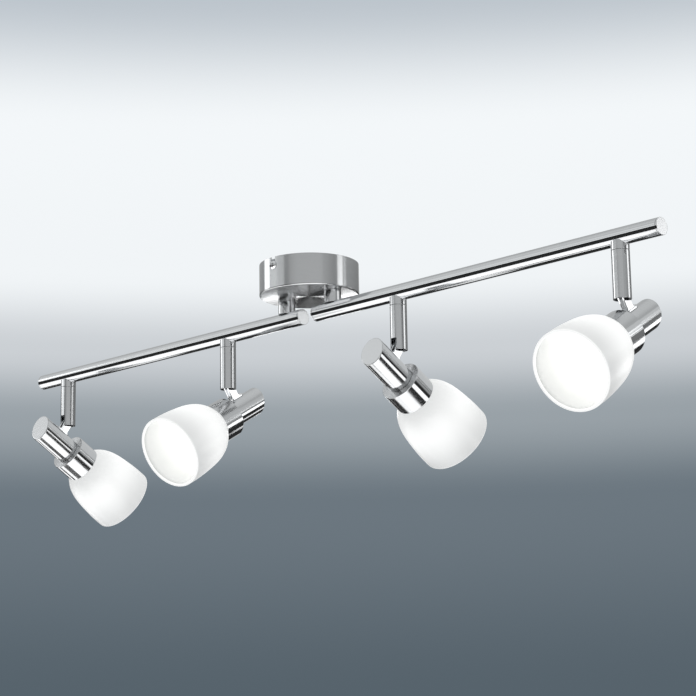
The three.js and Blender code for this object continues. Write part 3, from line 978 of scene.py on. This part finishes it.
def glass_mesh():
    """The bell with a fire-polished rim. The outside, the rim and the inside have a glass each, each with its own
    painted glow: brighter on the rim, dim inside, with painted shade beside the rim.
    """
    _, start, mouth = measures("glass_shade")
    outside = [Vector((radius, mouth - behind)) for radius, behind in smooth_through(BELL, BELL_STEPS)]
    inside = []
    for index, point in enumerate(outside):
        before, after = outside[max(index - 1, 0)], outside[min(index + 1, len(outside) - 1)]
        along = (after - before).normalized()
        inside.append(point + Vector((-along.y, along.x)) * GLASS_THICKNESS)
    half = GLASS_THICKNESS / 2
    rim_start = mouth - half
    outside[-1].y = inside[-1].y = rim_start
    rim_centre = (outside[-1] + inside[-1]) / 2
    rim = arc(rim_centre, half, 0, 180, 12)[1:-1]
    neck, hole, shoulder = 19.3, 13.6, outside[0]
    inner_neck, inner_start = neck - GLASS_THICKNESS, start + GLASS_THICKNESS
    outline = [(hole, start + half)]
    outline += rounded([
        (hole, start, 0.8), (neck, start, 1.2), (neck, shoulder.y - 0.6), (shoulder.x, shoulder.y),
    ], hold=0.0)[1:]
    outline += [tuple(point) for point in outside[1:] if point.y < rim_start + 0.01]
    rim_from = len(outline) - 1
    outline += rim
    inner_from = len(outline)
    outline += [tuple(point) for point in reversed(inside[3:]) if point.y < rim_start - 0.01]
    outline += [(inner_neck, shoulder.y + 2), (inner_neck, inner_start), (hole + 0.5, inner_start)]
    glass = lathe("glass", stations(outline), GLASS_SIDES, True, changes=(rim_from, inner_from))
    for finish in ("opal_glass", "opal_glass_painted_glow_rim", "opal_glass_painted_glow_and_shade_inside"):
        glass.data.materials.append(MATERIALS[finish])
    return glass


def dome_mesh():
    """The lamp's ball, drawn in to a neck behind."""
    radius = measures("bulb")[0]
    neck_end = 69.0
    ball = arc((0, LAMP_CENTRE), radius, 90, -42, 40)
    neck = smooth_through([ball[-1], (13.0, LAMP_CENTRE - 19.5), (10.6, 71.5), (10.4, neck_end)], 6)
    outline = [(0, LAMP_CENTRE + radius), *ball[1:]]
    outline += [tuple(point) for point in neck[1:]] + [(0, neck_end)]
    return lathe("dome", stations(outline))


def cap_mesh():
    """The lamp's screw cap, inside the holder."""
    start, end = measures("bulb")[1], 68.8
    outline = [(0, start), (2.4, start), (3.2, start + 1.2), (6.0, start + 3.0)]
    outline += [(r - 0.1, h) for r, h in thread(6.8, start + 3.5, 66.5)]
    outline += [(6.4, end), (0, end)]
    return lathe("cap", stations(outline), SMALL_SIDES)


def make_spots():
    """Builds each mesh once and places it on all four spots."""
    upright = {"stem_tube": stem_mesh(), "hinge_lug": lug_mesh()}
    on_axis = {
        "sleeve": sleeve_mesh(), "shade_cup": cup_mesh(), "lamp_holder": holder_mesh(),
        "shade_ring": ring_mesh(), "glass_shade": glass_mesh(),
    }
    stub, pin, yoke, rivet, dome, cap = (
        stub_mesh(), pin_mesh(), yoke_mesh(), rivet_mesh(), dome_mesh(), cap_mesh())
    axis_y, sleeve_radius = sleeve_line()
    foot_top = axis_y + sleeve_radius + FOOT_GAP + FOOT_THICKNESS
    for spot in SPOTS:
        stem, head, holder = stem_frame(spot), head_frame(spot), holder_frame(spot)
        # A stub is brazed to the arm, so it doesn't turn with the stem.
        stand_for(spot + "_stem_stub", copy_of(stub), Matrix.Translation(stem.translation))
        for part, mesh in upright.items():
            stand_for(f"{spot}_{part}", copy_of(mesh), stem)
        pivot = JOINTS[spot + "_tilt"]["pos_m"][2] / MM
        stand_for(spot + "_pivot_pin", copy_of(pin), stem @ shift(0, 0, pivot) @ LYING)
        stand_for(spot + "_yoke", copy_of(yoke), head)
        for number, along in enumerate(RIVETS, 1):
            place = head @ shift(0, foot_top, along) @ Matrix.Rotation(-pi / 2, 4, "X")
            stand_for(spot + "_yoke", copy_of(rivet), place, f"{spot}_yoke_rivet_{number}")
        for part, mesh in on_axis.items():
            stand_for(f"{spot}_{part}", copy_of(mesh), holder)
        stand_for(spot + "_bulb", copy_of(dome), holder, spot + "_lamp_dome")
        stand_for(spot + "_bulb", copy_of(cap), holder, spot + "_lamp_cap", "zinc_steel")
    for pattern in (*upright.values(), *on_axis.values(), stub, pin, yoke, rivet, dome, cap):
        bpy.data.objects.remove(pattern)


# ---- studio

FLOOR_Z = -2.4  # a room's height under the ceiling face
STUDIO_RADIUS = 14.0
STUDIO_SIDES = 96
WALL_TOP = 16.0


def make_floor():
    """A plain pale floor. The metal mirrors the panels above it instead."""
    floor = lathe("floor", [(0, 0), (STUDIO_RADIUS / MM, 0)], STUDIO_SIDES)
    floor.matrix_world = Matrix.Translation((0, 0, FLOOR_Z))
    look = Finish("floor")
    speckle = look.noise(3.0, detail=4.0)
    tone = look.mix(speckle, (0.72, 0.73, 0.74, 1), (0.76, 0.77, 0.78, 1))
    floor.data.materials.append(look.done(Base_Color=tone, Roughness=0.7))
    floor.visible_glossy = False


# Backdrop tones by height above the ceiling face, in metres.
BACKDROP = (
    (FLOOR_Z, (0.44, 0.46, 0.47)), (-1.4, (0.36, 0.38, 0.40)), (0.4, (0.095, 0.125, 0.150)),
    (1.9, (0.150, 0.185, 0.215)), (2.55, (0.32, 0.36, 0.39)), (3.1, (0.60, 0.63, 0.66)),
    (3.7, (0.88, 0.91, 0.93)), (4.9, (0.90, 0.93, 0.95)), (6.1, (0.50, 0.55, 0.60)),
    (9.0, (0.60, 0.62, 0.63)),
)


def make_backdrop():
    """A round wall that only the camera sees: grey, then dark blue-grey, near white and pale grey."""
    outline = [(STUDIO_RADIUS / MM, height / MM) for height in (FLOOR_Z, WALL_TOP)]
    wall = lathe("backdrop", outline, STUDIO_SIDES)
    look = Finish("backdrop")
    height = look.axes()[2]
    ramp = look.add("ValToRGB", {"Fac": look.spread(height, 0.0, 1.0, FLOOR_Z, WALL_TOP)})
    ramp.color_ramp.interpolation = "EASE"
    while len(ramp.color_ramp.elements) < len(BACKDROP):
        ramp.color_ramp.elements.new(1.0)
    for element, (at, tone) in zip(ramp.color_ramp.elements, BACKDROP):
        element.position = (at - FLOOR_Z) / (WALL_TOP - FLOOR_Z)
        element.color = (*tone, 1)
    glow = look.add("Emission", {"Color": ramp.outputs["Color"]})
    look.fill(look.tree.nodes["Material Output"], {"Surface": glow.outputs[0]})
    wall.data.materials.append(look.material)
    for rays in ("diffuse", "glossy", "transmission", "shadow"):
        setattr(wall, "visible_" + rays, False)


def panel(name, place, size, brightness):
    """A soft panel seen only in reflections. `brightness` is its look, 1 being paper white."""
    light = bpy.data.lights.new(name, "AREA")
    light.shape = "RECTANGLE"
    light.size, light.size_y = size
    light.energy = brightness * pi * size[0] * size[1]
    made = new_object(name, light)
    made.matrix_world = place
    made.visible_camera = False
    made.visible_diffuse = False


def on_floor(x, y, turn=0.0):
    """A place just above the floor, facing up, turned about the vertical by an angle in degrees."""
    upwards = Matrix.Rotation(radians(turn), 4, "Z") @ Matrix.Rotation(pi, 4, "X")
    return Matrix.Translation((x, y, FLOOR_Z + 0.1)) @ upwards


def standing(x, y, z):
    """An upright place facing the middle of the ceiling face."""
    facing = -Vector((x, y, z))
    return Matrix.Translation((x, y, z)) @ facing.to_track_quat("-Z", "Y").to_matrix().to_4x4()


# Bright parts of the floor, each as lowest and highest x and y in metres. The dark slot left between
# the second and the third draws the black line along the first spot.
BRIGHT_FLOOR = (
    (-8.6, -1.6, -3.0, 0.4),
    (-1.6, -0.42, -2.0, -0.28),
    (-1.6, -0.42, 0.06, 0.4),
    (-0.42, 0.0, -2.0, 0.4),
    (0.0, 8.4, -4.0, 0.4),
)


def make_panels():
    for number, (left, right, front, back) in enumerate(BRIGHT_FLOOR, 1):
        place = on_floor((left + right) / 2, (front + back) / 2)
        panel(f"floor_panel_{number}", place, (right - left, back - front), 1.5)
    panel("low_left_panel", on_floor(-6.0, 1.95, 157), (4.4, 1.0), 1.4)
    panel("low_right_panel", on_floor(5.86, 3.9, 18), (6.0, 3.2), 1.5)
    panel("left_panel", standing(-2.81, -1.12, 0.74), (1.10, 0.64), 1.6)
    # Close by, so that each spot mirrors them from its own side, and laid over each other, so that
    # their band fades towards its ends.
    for number, width in enumerate((0.44, 0.58, 0.72, 0.90), 1):
        panel(f"front_panel_{number}", standing(0.36, -0.46, 0.09), (width, 0.24), 0.075)
    panel("right_panel", standing(1.15, 0.66, 0.25), (0.34, 0.27), 1.15)
    # Mirrored by the flat faces that look along +X: the tube ends, and then the yokes' ears.
    panel("side_panel", standing(1.456, 1.44, 0.43), (0.11, 0.11), 1.6)
    panel("ear_panel", standing(1.42, 1.54, 0.335), (0.17, 0.065), 1.25)
    panel("rear_panel", standing(0.52, 0.95, -0.17), (0.32, 0.20), 1.9)
    panel("rear_low_panel", standing(-0.07, 1.00, -0.42), (0.18, 0.10), 1.3)
    # Mirrored by the canopy's turned underside, where they draw the two pale cones.
    panel("canopy_panel_left", standing(-0.238, 0.180, -0.10), (0.045, 0.03), 3.5)
    panel("canopy_panel_right", standing(-0.180, 0.240, -0.10), (0.045, 0.03), 3.5)


# Tones of the world by elevation in degrees: what the metal reflects where there is no panel.
WORLD_TONES = (
    (-90, 0.03), (-14, 0.03), (9, 0.02), (11.5, 0.03), (13.5, 0.42), (22, 0.48), (32, 0.54),
    (46, 0.50), (60, 0.64), (90, 0.72),
)
# Soft patches laid over them: azimuth from +X towards +Y, its half width and soft edge, lowest and
# highest elevation and their soft edge, all in degrees, and the tone.
WORLD_PATCHES = (
    (318, 20, 40, 4, 26, 3, 0.46),
    (236, 17, 6, 8, 12.5, 1.5, 1.2),
    (217, 13, 10, 18, 34, 4, 0.86),
    (200, 14, 14, 38, 52, 4, 0.72),
    (40, 8, 6, 6, 12, 9, 0.45),
    (80, 30, 6, 1, 15.5, 2.5, 0.22),
    (80, 36, 14, 19, 38, 3, 0.68),
    (134, 8, 6, -3, 9, 4, 0.62),
)


def make_world():
    world = bpy.data.worlds.new("studio")
    bpy.context.scene.world = world
    world.use_nodes = True
    nodes = Nodes(world.node_tree)
    direction = nodes.add("TexCoord").outputs["Generated"]
    x, y, z = nodes.add("SeparateXYZ", {"Vector": direction}).outputs
    elevation = nodes.times(nodes.math("ARCSINE", z), degrees(1))
    level_squared = nodes.math("SUBTRACT", 1.0, nodes.times(z, z))
    level_length = nodes.math("MAXIMUM", nodes.math("SQRT", level_squared), 1e-4)
    tone = WORLD_TONES[0][1]
    for (low, _), (high, next_tone) in zip(WORLD_TONES, WORLD_TONES[1:]):
        tone = nodes.spread(elevation, tone, next_tone, low, high)
    for azimuth, half, soft, low, high, edge, patch_tone in WORLD_PATCHES:
        turn = radians(azimuth)
        along_x = nodes.times(x, cos(turn))
        along_y = nodes.times(y, sin(turn))
        facing = nodes.math("DIVIDE", nodes.math("ADD", along_x, along_y), level_length)
        outer, inner = (cos(radians(angle)) for angle in (half + soft, half))
        sideways = nodes.spread(facing, 0.0, 1.0, outer, inner, "SMOOTHSTEP")
        above = nodes.spread(elevation, 0.0, 1.0, low - edge, low, "SMOOTHSTEP")
        below = nodes.spread(elevation, 1.0, 0.0, high, high + edge, "SMOOTHSTEP")
        amount = nodes.times(sideways, nodes.times(above, below))
        tone = nodes.spread(amount, tone, patch_tone, 0.0, 1.0)
    background = nodes.tree.nodes["Background"]
    nodes.fill(background, {"Color": (0.975, 0.995, 1.0, 1), "Strength": tone})


def make_camera():
    """The viewing angle: from the front right and below, looking slightly up."""
    yaw, pitch, roll = radians(44.30), radians(12.86), radians(-0.94)
    camera = new_object("camera", bpy.data.cameras.new("camera"))
    camera.data.lens = 108.93
    camera.data.sensor_width = 36.0
    turn = Matrix.Rotation(yaw, 4, "Z") @ Matrix.Rotation(pi / 2 + pitch, 4, "X")
    turn @= Matrix.Rotation(roll, 4, "Z")
    camera.matrix_world = Matrix.Translation((1.45582, -1.43769, -0.55265)) @ turn
    bpy.context.scene.camera = camera


make_canopy()
for screw, side in CANOPY_SCREWS.items():
    make_canopy_screw(screw, side)
make_bracket()
make_terminal_block()
for arm in ARMS:
    make_arm(arm)
    make_post(arm)
    make_post_nut(arm)
make_spots()
make_floor()
make_backdrop()
make_panels()
make_world()
make_camera()
bpy.context.scene.view_settings.view_transform = "Standard"
